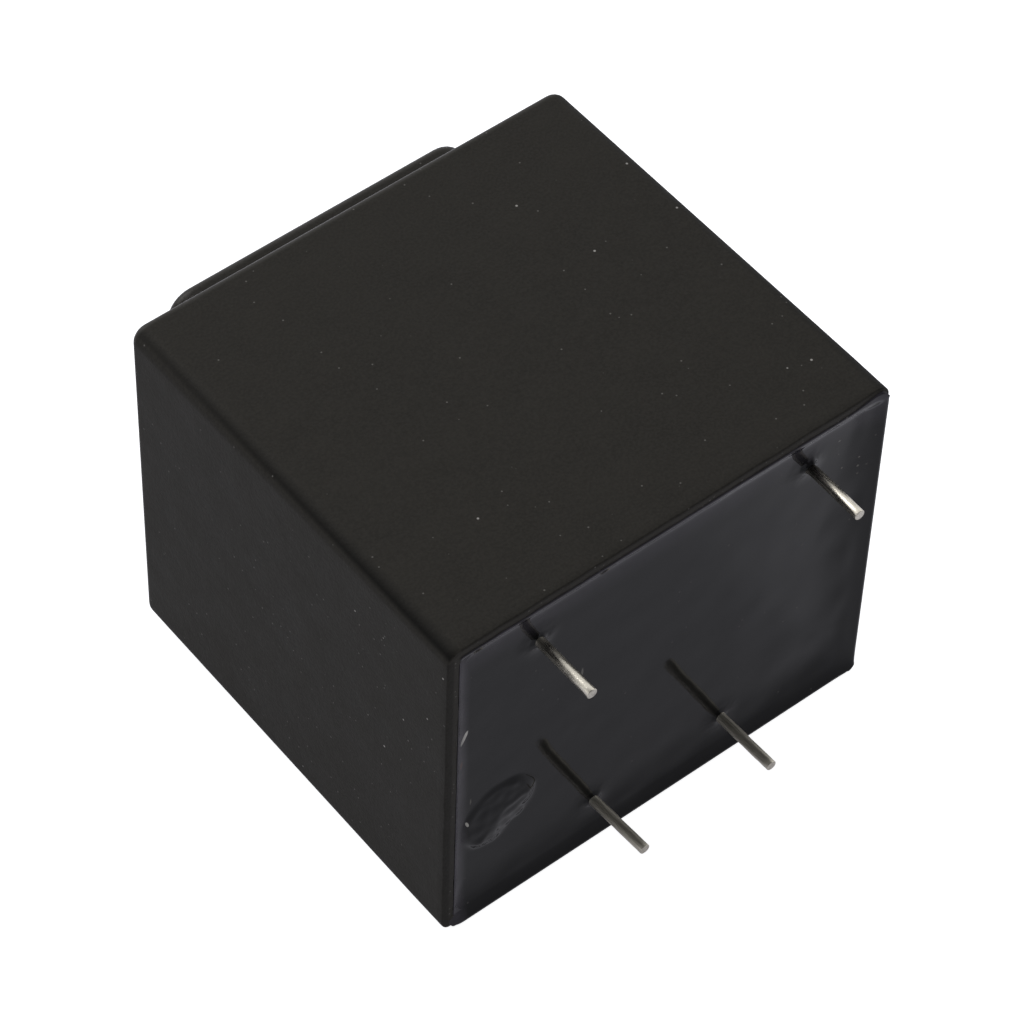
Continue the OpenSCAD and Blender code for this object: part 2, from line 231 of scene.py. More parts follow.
class Nodes:
    """Short names for building one material's node tree."""

    def __init__(self, name, **settings):
        self.material = bpy.data.materials.new(name)
        self.material.use_nodes = True
        self.tree = self.material.node_tree
        self.shader = self.tree.nodes["Principled BSDF"]
        self.output = self.tree.nodes["Material Output"]
        for key, value in settings.items():
            self.shader.inputs[key.replace("_", " ")].default_value = value
        self.place = self.new("ShaderNodeTexCoord").outputs["Object"]

    def new(self, kind, **settings):
        node = self.tree.nodes.new(kind)
        for key, value in settings.items():
            setattr(node, key, value)
        return node

    def join(self, value, socket):
        if isinstance(value, bpy.types.NodeSocket):
            self.tree.links.new(value, socket)
        else:
            socket.default_value = value

    def stretched(self, scale, move=(0, 0, 0), turn=(0, 0, 0)):
        node = self.new("ShaderNodeMapping")
        self.join(self.place, node.inputs["Vector"])
        node.inputs["Location"].default_value = move
        node.inputs["Rotation"].default_value = turn
        node.inputs["Scale"].default_value = scale
        return node.outputs["Vector"]

    def noise(self, size, detail=3, rough=0.55, where=None, warp=0):
        node = self.new("ShaderNodeTexNoise")
        self.join(where or self.place, node.inputs["Vector"])
        node.inputs["Scale"].default_value = 1 / size
        node.inputs["Detail"].default_value = detail
        node.inputs["Roughness"].default_value = rough
        node.inputs["Distortion"].default_value = warp
        return node.outputs["Fac"]

    def cells(self, size, where=None, feature="F1"):
        node = self.new("ShaderNodeTexVoronoi", feature=feature)
        self.join(where or self.place, node.inputs["Vector"])
        node.inputs["Scale"].default_value = 1 / size
        return node

    def math(self, kind, first, second=0.0, third=0.0, clamp=False):
        node = self.new("ShaderNodeMath", operation=kind, use_clamp=clamp)
        for value, socket in zip((first, second, third), node.inputs):
            self.join(value, socket)
        return node.outputs[0]

    def spread(self, value, low, high, to_low=0.0, to_high=1.0):
        node = self.new("ShaderNodeMapRange")
        self.join(value, node.inputs["Value"])
        for key, number in zip(("From Min", "From Max", "To Min", "To Max"), (low, high, to_low, to_high)):
            node.inputs[key].default_value = number
        return node.outputs[0]

    def axes(self):
        node = self.new("ShaderNodeSeparateXYZ")
        self.join(self.place, node.inputs[0])
        return node.outputs

    def mix(self, share, first, second):
        node = self.new("ShaderNodeMix", data_type="RGBA")
        self.join(share, node.inputs["Factor"])
        for value, socket in ((first, node.inputs["A"]), (second, node.inputs["B"])):
            socket = [s for s in node.inputs if s.name == socket.name and s.type == "RGBA"][0]
            self.join(value if isinstance(value, bpy.types.NodeSocket) else (*value, 1), socket)
        return [s for s in node.outputs if s.type == "RGBA"][0]

    def bump(self, height, depth, under=None):
        node = self.new("ShaderNodeBump")
        node.inputs["Distance"].default_value = depth
        self.join(height, node.inputs["Height"])
        if under:
            self.join(under, node.inputs["Normal"])
        return node.outputs["Normal"]

    def dress(self, **sockets):
        for key, value in sockets.items():
            self.join(value, self.shader.inputs[key.replace("_", " ")])
        return self.material


def shade(colour, factor):
    return tuple(min(1.0, part * factor) for part in colour)


def spot(nodes, x, z, half_wide, half_long, lean):
    """A soft oval mark at one place of the face, its long axis leaning over from upright."""
    offset = nodes.new("ShaderNodeVectorMath", operation="SUBTRACT")
    nodes.join(nodes.place, offset.inputs[0])
    offset.inputs[1].default_value = mm(x, 0, z)
    parts = []
    for half, turn in ((half_wide, 0), (half_long, math.pi / 2)):
        part = nodes.new("ShaderNodeVectorMath", operation="DOT_PRODUCT")
        nodes.join(offset.outputs[0], part.inputs[0])
        along = Vector((math.cos(turn - lean), 0, math.sin(turn - lean)))
        part.inputs[1].default_value = along / (half * MM)
        parts.append(nodes.math("POWER", part.outputs["Value"], 2.0))
    return nodes.spread(nodes.math("ADD", *parts), 1.0, 0.6)


def specks(nodes, size, radius, share, where=None):
    """Small round spots in a share of the cells of a given size."""
    cell = nodes.cells(size, where)
    chosen = nodes.new("ShaderNodeSeparateColor")
    nodes.join(cell.outputs["Color"], chosen.inputs[0])
    picked = nodes.math("GREATER_THAN", chosen.outputs[0], 1 - share)
    near = nodes.spread(cell.outputs["Distance"], radius, radius * 0.6)
    return nodes.math("MULTIPLY", picked, near)


PALE_DUST = (0.33, 0.32, 0.31)


def cup_plastic(base):
    n = Nodes("cup_plastic", Specular_IOR_Level=0.075, IOR=1.5)
    x, y, z = n.axes()
    mottle = n.noise(2.6 * MM, 4, 0.6)
    grain = n.noise(0.18 * MM, 2, 0.6)
    colour_1 = n.mix(n.spread(mottle, 0.3, 0.7), shade(base, 0.9), shade(base, 1.1))
    colour_2 = n.mix(n.spread(grain, 0.35, 0.65, 0, 0.4), colour_1, shade(base, 1.7))
    # Painted shade: the long edges are darker than the flat walls
    centre_x = (CASE_LOW.x + CASE_HIGH.x) / 2
    off_side = n.math("ABSOLUTE", n.math("SUBTRACT", x, centre_x))
    near_x = n.spread(off_side, CASE_HIGH.x - centre_x - 1.0 * MM, CASE_HIGH.x - centre_x - 0.3 * MM)
    near_z = n.spread(n.math("ABSOLUTE", z), CASE_HIGH.z - 0.6 * MM, CASE_HIGH.z - 0.35 * MM)
    colour_3 = n.mix(n.math("MULTIPLY", near_x, near_z), colour_2, shade(base, 0.2))
    # Painted light: a paler line runs along the left and top rims, where the front-facing rim gets little
    # light
    on_left = n.math("MULTIPLY", n.spread(x, CASE_LOW.x + 1.0 * MM, CASE_LOW.x + 0.9 * MM),
                     n.spread(x, CASE_LOW.x + 0.42 * MM, CASE_LOW.x + 0.55 * MM))
    on_top = n.math("MULTIPLY", n.spread(z, CASE_HIGH.z - 0.72 * MM, CASE_HIGH.z - 0.6 * MM),
                    n.spread(z, CASE_HIGH.z - 0.12 * MM, CASE_HIGH.z - 0.25 * MM))
    rim = n.math("MULTIPLY", n.spread(y, 0.12 * MM, 0.03 * MM), n.math("MAXIMUM", on_left, on_top))
    painted_rim_light = n.math("MULTIPLY", rim, 0.55)
    colour_4 = n.mix(painted_rim_light, colour_3, shade(base, 2.2))
    # Dust lies everywhere, with a few larger crumbs, and flecks show on the rims' painted light line
    dust = n.math("MULTIPLY", specks(n, 0.85 * MM, 0.08, 0.5), 0.28)
    crumbs = specks(n, 1.5 * MM, 0.06, 0.12)
    flecks = n.math("MULTIPLY", n.math("MULTIPLY", painted_rim_light, specks(n, 0.3 * MM, 0.22, 0.3)), 0.5)
    pale = n.math("MAXIMUM", n.math("MAXIMUM", dust, crumbs), flecks)
    colour_5 = n.mix(pale, colour_4, PALE_DUST)
    # The closed end and the dome are smoother
    smoother = n.spread(y, 29.6 * MM, 30.0 * MM)
    rough = n.math("SUBTRACT", n.spread(mottle, 0.2, 0.8, 0.5, 0.62), n.math("MULTIPLY", smoother, 0.3))
    fine = n.bump(grain, 0.015 * MM)
    return n.dress(Base_Color=colour_5, Roughness=rough, Normal=n.bump(mottle, 0.05 * MM, fine))


# Single marks on the resin face: place along the rows and in height, half width and half length in
# mm, and lean in radians
# The chip and the small dot carry painted glints
CHIP = (-15.05, 4.65, 0.17, 0.62, 0.45)
DOT = (-14.7, -4.15, 0.1, 0.26, -0.3)
NOTCH = (-15.25, 2.2, 0.13, 0.4, 0.1)
POCKET = (14.75, 12.5, 0.2, 0.5, 1.5)
POCKET_LIP = (14.75, 12.5, 0.34, 0.75, 1.5)
CRUMB_PATCH = (13.4, 8.8, 2.0, 3.0, 0)

RESIN_DUST = (0.22, 0.21, 0.19)
# Painted highlight: the glint on the chip
CHIP_GLINT = (0.62, 0.60, 0.56)
DARK_ORANGE_NOTCH = (0.10, 0.045, 0.02)
# Painted reflection on the resin's curve up the left and top walls
MENISCUS_SHEEN = (0.052, 0.048, 0.06)
# Painted highlight round the pocket's lip, and painted shadow inside the pocket
LIP_HIGHLIGHT = (0.09, 0.088, 0.1)
POCKET_SHADOW = (0.004, 0.004, 0.005)


def casting_resin(base):
    n = Nodes("casting_resin", Specular_IOR_Level=0.18, IOR=1.5)
    cloud = n.noise(5 * MM, 3, 0.5)
    colour_1 = n.mix(n.spread(cloud, 0.3, 0.7), shade(base, 0.85), shade(base, 1.15))
    dust = n.math("MULTIPLY", specks(n, 0.9 * MM, 0.09, 0.4), 0.35)
    scratch = specks(n, 1.5 * MM, 0.07, 0.3, n.stretched((1, 1, 0.22), turn=(0, 0.9, 0)))
    crumbs = n.math("MULTIPLY", specks(n, 0.55 * MM, 0.19, 0.5), spot(n, *CRUMB_PATCH))
    marks = n.math("MAXIMUM", n.math("MAXIMUM", dust, scratch), crumbs)
    colour_2 = n.mix(n.math("MULTIPLY", marks, 0.5), colour_1, RESIN_DUST)
    # Painted highlights: the glints on the chip and on the small dot
    pale = n.math("MAXIMUM", spot(n, *CHIP), n.math("MULTIPLY", spot(n, *DOT), 0.6))
    colour_3 = n.mix(pale, colour_2, CHIP_GLINT)
    # A small dark orange-tinged mark at a notch in the left edge
    colour_4 = n.mix(n.math("MULTIPLY", spot(n, *NOTCH), 0.8), colour_3, DARK_ORANGE_NOTCH)
    # Painted reflection: along the left and top walls, where the resin curves up, the face is painted
    # greyer for the light that the curve reflects
    x, _, z = n.axes()
    wall = bpy.context.scene.transformer_cup.wall
    inner_left, inner_top = CASE_LOW.x + wall, CASE_HIGH.z - wall
    streak = n.spread(n.noise(1.5 * MM, 3, 0.6), 0.3, 0.7, 0.55, 1)
    by_left = n.spread(x, inner_left + 1.0 * MM, inner_left + 0.2 * MM)
    by_top = n.math("MULTIPLY", n.spread(z, inner_top - 2.4 * MM, inner_top - 0.1 * MM), 0.75)
    meniscus_sheen = n.math("MULTIPLY", n.math("MAXIMUM", by_left, by_top), streak)
    colour_5 = n.mix(meniscus_sheen, colour_4, MENISCUS_SHEEN)
    # At the pocket near the top right corner: a painted highlight round its lip and a painted shadow inside
    # it
    colour_6 = n.mix(n.math("MULTIPLY", spot(n, *POCKET_LIP), 0.8), colour_5, LIP_HIGHLIGHT)
    colour_7 = n.mix(spot(n, *POCKET), colour_6, POCKET_SHADOW)
    rough = n.spread(cloud, 0.3, 0.7, 0.05, 0.08)
    return n.dress(Base_Color=colour_7, Roughness=rough, Normal=n.bump(n.noise(0.9 * MM, 2), 0.004 * MM))


# Resin coat on the pins near the resin, darkened further as painted reflection of the dark resin
FILM_AND_DARK_REFLECTION = (0.17, 0.16, 0.14)


def tinned_metal(base):
    """Tin, darker near the resin: a resin coat there, with painted dark reflection of the resin. The lower
    row's dark zone is shorter and the lower row is duller.
    """
    n = Nodes("tinned_metal", Metallic=1.0, IOR=1.5)
    _, y, z = n.axes()
    level = n.math("SUBTRACT", y, n.spread(z, 1 * MM, -1 * MM, 0, 1.6 * MM))
    drawn = n.noise(0.12 * MM, 3, 0.6, n.stretched((1, 0.06, 1)))
    patch = n.noise(0.5 * MM, 3, 0.6)
    film_and_reflection = n.spread(n.math("ADD", level, n.math("MULTIPLY", patch, 0.9 * MM)), -1.0 * MM, 0.3 * MM)
    colour_1 = n.mix(n.spread(drawn, 0.35, 0.65), shade(base, 0.72), base)
    # A real resin coat with painted reflection: the tin is darker near the resin
    colour_2 = n.mix(n.math("MULTIPLY", film_and_reflection, 0.88), colour_1, FILM_AND_DARK_REFLECTION)
    dull = n.spread(z, 1 * MM, -1 * MM, 0, 0.19)
    rough = n.math("ADD", n.spread(drawn, 0.3, 0.7, 0.22, 0.34), dull)
    fine = n.bump(drawn, 0.004 * MM)
    return n.dress(Base_Color=colour_2, Roughness=rough, Normal=n.bump(patch, 0.012 * MM, fine))


def bobbin_plastic():
    n = Nodes("bobbin_plastic", Specular_IOR_Level=0.4, IOR=1.5)
    cloud = n.noise(3 * MM, 3)
    colour_1 = n.mix(cloud, (0.70, 0.63, 0.47), (0.82, 0.76, 0.62))
    rough = n.spread(cloud, 0.3, 0.7, 0.4, 0.5)
    return n.dress(Base_Color=colour_1, Roughness=rough, Normal=n.bump(n.noise(0.2 * MM), 0.01 * MM))


def sheet_steel():
    n = Nodes("sheet_steel", Metallic=1.0)
    rolled = n.noise(0.3 * MM, 4, 0.6, n.stretched((0.08, 1, 1)))
    rust = n.noise(1.8 * MM, 4, 0.65)
    colour_1 = n.mix(rolled, (0.26, 0.27, 0.29), (0.42, 0.43, 0.45))
    colour_2 = n.mix(n.spread(rust, 0.66, 0.78, 0, 0.5), colour_1, (0.19, 0.10, 0.06))
    rough = n.spread(rolled, 0.3, 0.7, 0.35, 0.5)
    return n.dress(Base_Color=colour_2, Roughness=rough, Normal=n.bump(rolled, 0.006 * MM))


def wound_copper(name, wire, dark, bright):
    """Enamelled wire whose turns lie side by side along the winding."""
    n = Nodes(name, Metallic=1.0)
    y = n.axes()[1]
    wander = n.noise(2.5 * MM, 2)
    phase = n.math("ADD", n.math("DIVIDE", y, wire), n.math("MULTIPLY", wander, 1.5))
    turn = n.math("ABSOLUTE", n.math("SINE", n.math("MULTIPLY", phase, math.pi)))
    # Painted shade: each turn is darker towards the grooves between turns
    colour_1 = n.mix(turn, dark, bright)
    rough = n.spread(wander, 0.3, 0.7, 0.25, 0.38)
    return n.dress(Base_Color=colour_1, Roughness=rough, Normal=n.bump(turn, wire / 4))


def drawn_copper():
    n = Nodes("drawn_copper", Metallic=1.0)
    drawn = n.noise(0.4 * MM, 3)
    colour_1 = n.mix(drawn, (0.60, 0.25, 0.11), (0.82, 0.42, 0.22))
    rough = n.spread(drawn, 0.3, 0.7, 0.22, 0.36)
    return n.dress(Base_Color=colour_1, Roughness=rough, Normal=n.bump(drawn, 0.01 * MM))


def polyester_tape():
    n = Nodes("polyester_tape", Specular_IOR_Level=0.5, IOR=1.6)
    wrinkle = n.noise(1.2 * MM, 3, 0.5, n.stretched((1, 0.3, 1)))
    colour_1 = n.mix(wrinkle, (0.62, 0.44, 0.08), (0.80, 0.64, 0.20))
    rough = n.spread(wrinkle, 0.3, 0.7, 0.16, 0.28)
    return n.dress(Base_Color=colour_1, Roughness=rough, Normal=n.bump(wrinkle, 0.03 * MM))


def satin_solder():
    n = Nodes("satin_solder", Metallic=1.0)
    frost = n.noise(0.25 * MM, 4, 0.6)
    colour_1 = n.mix(frost, (0.52, 0.53, 0.55), (0.72, 0.73, 0.74))
    rough = n.spread(frost, 0.3, 0.7, 0.25, 0.42)
    return n.dress(Base_Color=colour_1, Roughness=rough, Normal=n.bump(frost, 0.02 * MM))


def put_on(material, *nodes):
    """Gives CAD nodes a better material in their own slots."""
    for node in nodes:
        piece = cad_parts[node]
        if not piece.material_slots:
            piece.data.materials.append(material)
        for slot in piece.material_slots:
            slot.material = material


# The cup

# The blunted edges of the rim, the two fine bands of mesh beside it, how far below the rim it still
# wanders, and the fillet at the dome's foot
RIM_BLUNT = 0.09 * MM
NEAR_BAND, FAR_BAND = 0.6 * MM, 3 * MM
RIM_ZONE = 0.3 * MM
DOME_FILLET = 0.15 * MM
# How far the rim sinks where resin covers it, and the width over which that starts at a wall
SUNK_RIM = 0.1 * MM
SUNK_START = 0.1 * MM


def bowl(t):
    """Rises from 0 to 1 with a level start."""
    t = min(max(t, 0.0), 1.0)
    return t * t


def smooth(t):
    """Rises from 0 to 1 with a level start and a level end."""
    t = min(max(t, 0.0), 1.0)
    return t * t * (3 - 2 * t)


def wavering(place, amount, reach=1.2 * MM):
    """A small steady wander that depends only on the place."""
    return amount * noise.noise(place / reach)


class TRANSFORMER_OT_cup(Operator):
    """Builds the moulded cup with its raised dome, and its plastic"""
    bl_idname = "transformer.cup"
    bl_label = "Cup"

    def execute(self, context):
        cup = context.scene.transformer_cup
        centre_x = (CASE_LOW.x + CASE_HIGH.x) / 2
        half_x = (CASE_HIGH.x - CASE_LOW.x) / 2
        half_z = (CASE_HIGH.z - CASE_LOW.z) / 2
        end = CASE_HIGH.y
        wall, foot, lean = cup.wall, cup.dome_foot, cup.draft
        inner_x, inner_z = half_x - wall, half_z - wall
        dome_x, dome_z = cup.dome_half_x, cup.dome_half_z
        # From the inside of the dome out to the rim
        rings = [
            Ring(end - wall, dome_x - wall, dome_z - wall, cup.dome_r - wall),
            Ring(foot - wall, dome_x - wall, dome_z - wall, cup.dome_r - wall),
            Ring(foot - wall, inner_x - lean, inner_z - lean, cup.inside_r),
            Ring(FAR_BAND, inner_x, inner_z, cup.inside_r),
            Ring(NEAR_BAND, inner_x, inner_z, cup.inside_r),
            Ring(RIM_BLUNT, inner_x, inner_z, cup.inside_r),
            Ring(0, inner_x + RIM_BLUNT, inner_z + RIM_BLUNT, cup.inside_r + RIM_BLUNT),
        ]
        # From the rim along the outside to the end of the dome
        rings += quarter(0, half_x, half_z, cup.edge_r, RIM_BLUNT, 3, -1)[::-1]
        rings += [Ring(band, half_x, half_z, cup.edge_r) for band in (NEAR_BAND, FAR_BAND)]
        rings += quarter(foot, half_x - lean, half_z - lean, cup.edge_r * 1.1, cup.end_r, 8, 1)
        rings += [
            Ring(foot, dome_x + DOME_FILLET, dome_z + DOME_FILLET, cup.dome_r + DOME_FILLET),
            Ring(foot + DOME_FILLET, dome_x, dome_z, cup.dome_r),
        ]
        rings += quarter(end, dome_x, dome_z, cup.dome_r, cup.dome_end_r, 8, 1)
        bm = lofted(Vector((centre_x, 0, 0)), rings, steps=8, cuts=60)
        for v in bm.verts:
            if v.co.y < RIM_ZONE:
                v.co.x += wavering(v.co, cup.rim_wear)
                v.co.z += wavering(v.co + mm(9, 4, 7), cup.rim_wear)
                v.co.y = max(v.co.y + wavering(v.co + mm(3, 8, 1), cup.rim_wear) + cup.rim_wear / 2, 0)
                v.co.y += SUNK_RIM * self.drowned(v.co, wall)
        piece = finish_mesh(bm, "cup")
        piece.data.materials.append(cup_plastic(tuple(cup.plastic)))
        flat_shading(piece)
        settle(piece, "case", "case")
        return {"FINISHED"}

    def drowned(self, co, wall):
        """1 where the resin runs over the rim, on the right and below, and 0 on the other rims."""
        right, bottom = CASE_HIGH.x - wall, CASE_LOW.z + wall
        past_left = smooth((co.x - CASE_LOW.x - 0.25 * MM) / MM)
        below_top = smooth((-bottom - co.z) / MM)
        on_right = smooth((co.x - right + SUNK_START) / SUNK_START) * below_top
        below = smooth((bottom + SUNK_START - co.z) / SUNK_START) * past_left
        return max(on_right, below)


# The resin face

# How far the face reaches into the left wall and over the top one, and how far it stops inside the
# case's outline on the right and below
INTO_LEFT, OVER_TOP = 0.03 * MM, 0.25 * MM
SHORT_OF_OUTLINE = 0.06 * MM
# The mesh is finer within this distance of a pin
FINE_ROUND_PIN = 1.5 * MM
# Depth of the plain underside below the face's lowest level
UNDERSIDE = 0.35 * MM
# Corner radii of the face in mm: both right ones, the top left one and the lower left one
RIGHT_CORNER, TOP_LEFT_CORNER, LOW_LEFT_CORNER = 0.95, 0.3, 0.75
# How far two corners spread out along the wall
CORNER_SPREAD = 0.42 * MM

# The measures below are in mm.
# The apron over the two lower rims: its rise at the edge, its reach, how sharply it bends, and how
# its edge rounds off
APRON_RISE, APRON_REACH, APRON_BEND = 0.66, 4.9, 2.6
APRON_EDGE_DROP, APRON_EDGE = 0.3, 0.16
# The meniscus at the left wall: its hollow part, its shallow toe and its rounded edge
HOLLOW_REACH, HOLLOW_TOP = 0.78, 1.02
TOE_RISE, TOE_REACH = 0.3, 1.2
LEFT_EDGE_DROP, LEFT_EDGE = 0.3, 0.2
# The climbs at the top wall: rise, distance at which it starts, reach, and share of the wobble
TOP_CLIMBS = ((0.4, 0.24, 1.4, 1), (0.2, 0.0, 4, 1), (0.2, 0.0, 14, 0))
# Distance from a rim at which the apron's waves begin, and the distance over which they grow
WAVE_START, WAVE_GROWTH = 0.9, 1.2
# Amount, size and offset of the noise in the climbs, in the aprons' starts and in the flat face
WOBBLE = (0.05, 1.7, (0, 0, 0))
WAVE = (0.5, 2.7, (0, 7, 0))
SWELLS = ((0.012, 6, (3, 1, 5)), (0.014, 2.4, (0, 0, 0)))
# The climb above which the face has no swell of its own
CALM_CLIMB = 0.3
# The middle stands higher than the right side: by how much, from where, and over what width
CROWN_RISE, CROWN_START, CROWN_WIDTH = 0.108, 13, 8
# Place along the rows, place in height, reach and rise of broad low bumps in the resin
LOW_BUMPS = (
    (10.3, -7.8, 2.2, 0.06), (-7.2, -1.1, 0.8, 0.012), (7.2, -0.9, 0.9, 0.010), (8.2, 5.2, 1.6, 0.014),
)
# Middle of the blister, and the direction of its ridge
BLISTER_X, BLISTER_Z = -12.3, -5.0
RIDGE = (0.83, 0.56)
# As shares of its radius: where its long slope starts and how steep that is, how far the ridge lies
# past the middle and how much it bends, and how wide the short slope is
LONG_START, LONG_SLOPE = 0.12, 0.84
RIDGE_SHIFT, RIDGE_BEND, SHORT_WIDTH = 0.05, 0.5, 0.8
# How far the resin climbed each pin, the reach of the sleeve and of its foot, and the distance
# beyond which a pin has no effect
PIN_CLIMBS = (0.12, 0.16, 0.06, 0.06)
SLEEVE_REACH, FOOT_REACH, PIN_ZONE = 0.35, 1.5, 2


def ripple(place, amount, size, offset):
    """Noise of a given amount and size at a place in mm."""
    return amount * noise.noise(place / size + Vector(offset))


class TRANSFORMER_OT_resin(Operator):
    """Builds the face of the casting resin, with its menisci, blister and collars"""
    bl_idname = "transformer.resin"
    bl_label = "Resin face"

    def execute(self, context):
        resin = context.scene.transformer_resin
        wall = context.scene.transformer_cup.wall
        left, right = CASE_LOW.x + wall - INTO_LEFT, CASE_HIGH.x - SHORT_OF_OUTLINE
        bottom, top = CASE_LOW.z + SHORT_OF_OUTLINE, CASE_HIGH.z - wall + OVER_TOP
        pins = [pin_line(node) for node in PIN_NODES]
        bm = bmesh.new()
        made = bmesh.ops.create_grid(
            bm, x_segments=round((right - left) / resin.grid_step),
            y_segments=round((top - bottom) / resin.grid_step), size=0.5,
        )
        bmesh.ops.scale(bm, verts=made["verts"], vec=(right - left, top - bottom, 1))
        turned_upright(bm, bm.verts)
        bmesh.ops.translate(bm, verts=bm.verts, vec=((left + right) / 2, 0, (bottom + top) / 2))
        near = [e for e in bm.edges if any(
            math.hypot(e.verts[0].co.x - p[0].x, e.verts[0].co.z - p[0].z) < FINE_ROUND_PIN for p in pins)]
        bmesh.ops.subdivide_edges(bm, edges=near, cuts=2, use_grid_fill=True)
        for v in bm.verts:
            self.round_corner(v, left, right, bottom, top)
            v.co.y = resin.face_depth - self.height(v.co, resin, left, right, bottom, top, pins)
        made = bmesh.ops.extrude_edge_only(bm, edges=[e for e in bm.edges if e.is_boundary])["geom"]
        for v in {g for g in made if isinstance(g, bmesh.types.BMVert)}:
            v.co.y = resin.face_depth + UNDERSIDE
        outline = [g for g in made if isinstance(g, bmesh.types.BMEdge) and g.is_boundary]
        bmesh.ops.edgeloop_fill(bm, edges=outline)
        piece = finish_mesh(bm, "resin_face")
        piece.data.materials.append(casting_resin(tuple(resin.resin)))
        settle(piece, "resin")
        return {"FINISHED"}

    def round_corner(self, v, left, right, bottom, top):
        """Slides a point of the grid's square corner onto a round one, wide where two rims are covered."""
        middle_x, middle_z = (left + right) / 2, (bottom + top) / 2
        if v.co.x > middle_x:
            r = RIGHT_CORNER * MM
        else:
            r = (TOP_LEFT_CORNER if v.co.z > middle_z else LOW_LEFT_CORNER) * MM
        cx = min(max(v.co.x, left + r), right - r)
        cz = min(max(v.co.z, bottom + r), top - r)
        a, b = (v.co.x - cx) / r, (v.co.z - cz) / r
        if a and b:
            v.co.x = cx + r * a * math.sqrt(1 - b * b / 2)
            v.co.z = cz + r * b * math.sqrt(1 - a * a / 2)
        near_bottom = smooth((bottom + 2.2 * MM - v.co.z) / (2.2 * MM))
        near_left = smooth((left + 2 * MM - v.co.x) / (2 * MM))
        v.co.x -= CORNER_SPREAD * near_bottom * near_left
        near_right = smooth((v.co.x - right + 3 * MM) / (3 * MM))
        near_top = smooth((v.co.z - top + 2 * MM) / (2 * MM))
        v.co.z += CORNER_SPREAD * near_right * near_top

    def height(self, co, resin, left, right, bottom, top, pins):
        """How far the resin stands above its lowest level at one place."""
        x, z = co.x / MM, co.z / MM
        place = Vector((x, 0, z))
        wobble, wave = ripple(place, *WOBBLE), ripple(place, *WAVE)
        from_left, from_top = (co.x - left) / MM, (top - co.z) / MM
        from_right, from_bottom = (right - co.x) / MM, (co.z - bottom) / MM
        low_share = 0.8 + 0.2 * smooth(from_left + 0.42)
        climbs = [
            self.meniscus(from_left + wobble),
            self.apron(from_right + wave * smooth((from_right - WAVE_START) / WAVE_GROWTH)),
            self.apron(from_bottom + wave * smooth((from_bottom - WAVE_START) / WAVE_GROWTH)) * low_share,
        ]
        climbs += [rise * bowl(1 - max(from_top - start + share * wobble, 0) / reach)
                   for rise, start, reach, share in TOP_CLIMBS]
        # The fourth power joins the climbs softly, each as high as it is where it stands alone
        climb = sum(part ** 4 for part in climbs) ** 0.25
        calm = max(0.0, 1 - climb / CALM_CLIMB)
        swell = sum(ripple(place, *part) for part in SWELLS)
        crown = CROWN_RISE * smooth((CROWN_START - x) / CROWN_WIDTH)
        bumps = sum(rise * math.exp(-((x - bump_x) ** 2 + (z - bump_z) ** 2) / reach ** 2)
                    for bump_x, bump_z, reach, rise in LOW_BUMPS)
        raised = (swell + crown + bumps) * calm + self.blister(x, z, resin)
        return (climb + raised + self.collars(co, pins)) * MM

    def apron(self, gap):
        """The long slope that carries the resin up and over the two lower rims."""
        gap = max(gap, 0.0)
        slope = APRON_RISE * max(1 - gap / APRON_REACH, 0) ** APRON_BEND
        return max(slope - APRON_EDGE_DROP * bowl(1 - gap / APRON_EDGE), 0.0)

    def meniscus(self, gap):
        """The curve at the left wall: a hollow quarter turn close to it and a shallow toe."""
        gap = max(gap, 0.0)
        hollow = 0.0
        if gap < HOLLOW_REACH:
            hollow = HOLLOW_TOP - math.sqrt(1 - (HOLLOW_REACH - gap) ** 2)
        toe = TOE_RISE * bowl(1 - gap / TOE_REACH)
        return max(max(hollow, toe) - LEFT_EDGE_DROP * bowl(1 - gap / LEFT_EDGE), 0.0)

    def blister(self, x, z, resin):
        """A low blister like a lean-to roof: it rises slowly to a bent ridge and falls off quickly."""
        dx, dz = x - BLISTER_X, z - BLISTER_Z
        radius = resin.blister_r / MM * (1 + 0.05 * noise.noise(Vector((dx, 0, dz)) / 1.4))
        along = (dx * RIDGE[0] + dz * RIDGE[1]) / radius
        across = (dx * RIDGE[1] - dz * RIDGE[0]) / radius
        inside = 1 - math.hypot(along, across)
        if inside <= 0:
            return 0.0
        long_side = LONG_START + LONG_SLOPE * (across + 1) + 0.12 * noise.noise(Vector((dx, 2, dz)) / 0.7)
        past_ridge = across - RIDGE_SHIFT - RIDGE_BEND * (along + 0.05) ** 2
        short_side = max(1 - past_ridge / SHORT_WIDTH + 0.22 * noise.noise(Vector((dx, 5, dz)) / 0.8), 0.0)
        # The lower of the two slopes, with a rounded ridge where they meet
        roof = (long_side + short_side - math.sqrt((long_side - short_side) ** 2 + 0.01)) / 2
        edge = smooth(inside / (0.22 + 0.15 * smooth(across)))
        return resin.blister_h / MM * max(roof, 0.0) * edge

    def collars(self, co, pins):
        """Resin that climbed the pins: a lumpy sleeve on a low wide foot."""
        total = 0.0
        for (base, shift), climb in zip(pins, PIN_CLIMBS):
            out = (math.hypot(co.x - base.x - shift[0], co.z - base.z - shift[1]) - pin_radius()) / MM
            if out < PIN_ZONE:
                lump = noise.noise(co / (0.35 * MM) + base * 900)
                slow = noise.noise(co / (0.9 * MM) + base * 500)
                out = max(out + 0.05 * lump, 0.0)
                total += climb * (1 + 0.35 * slow) * max(1 - out / SLEEVE_REACH, 0) ** 1.5
                total += (0.08 + 0.3 * climb) * (1 + 0.5 * slow) * bowl(1 - out / FOOT_REACH)
        return total


# The pins

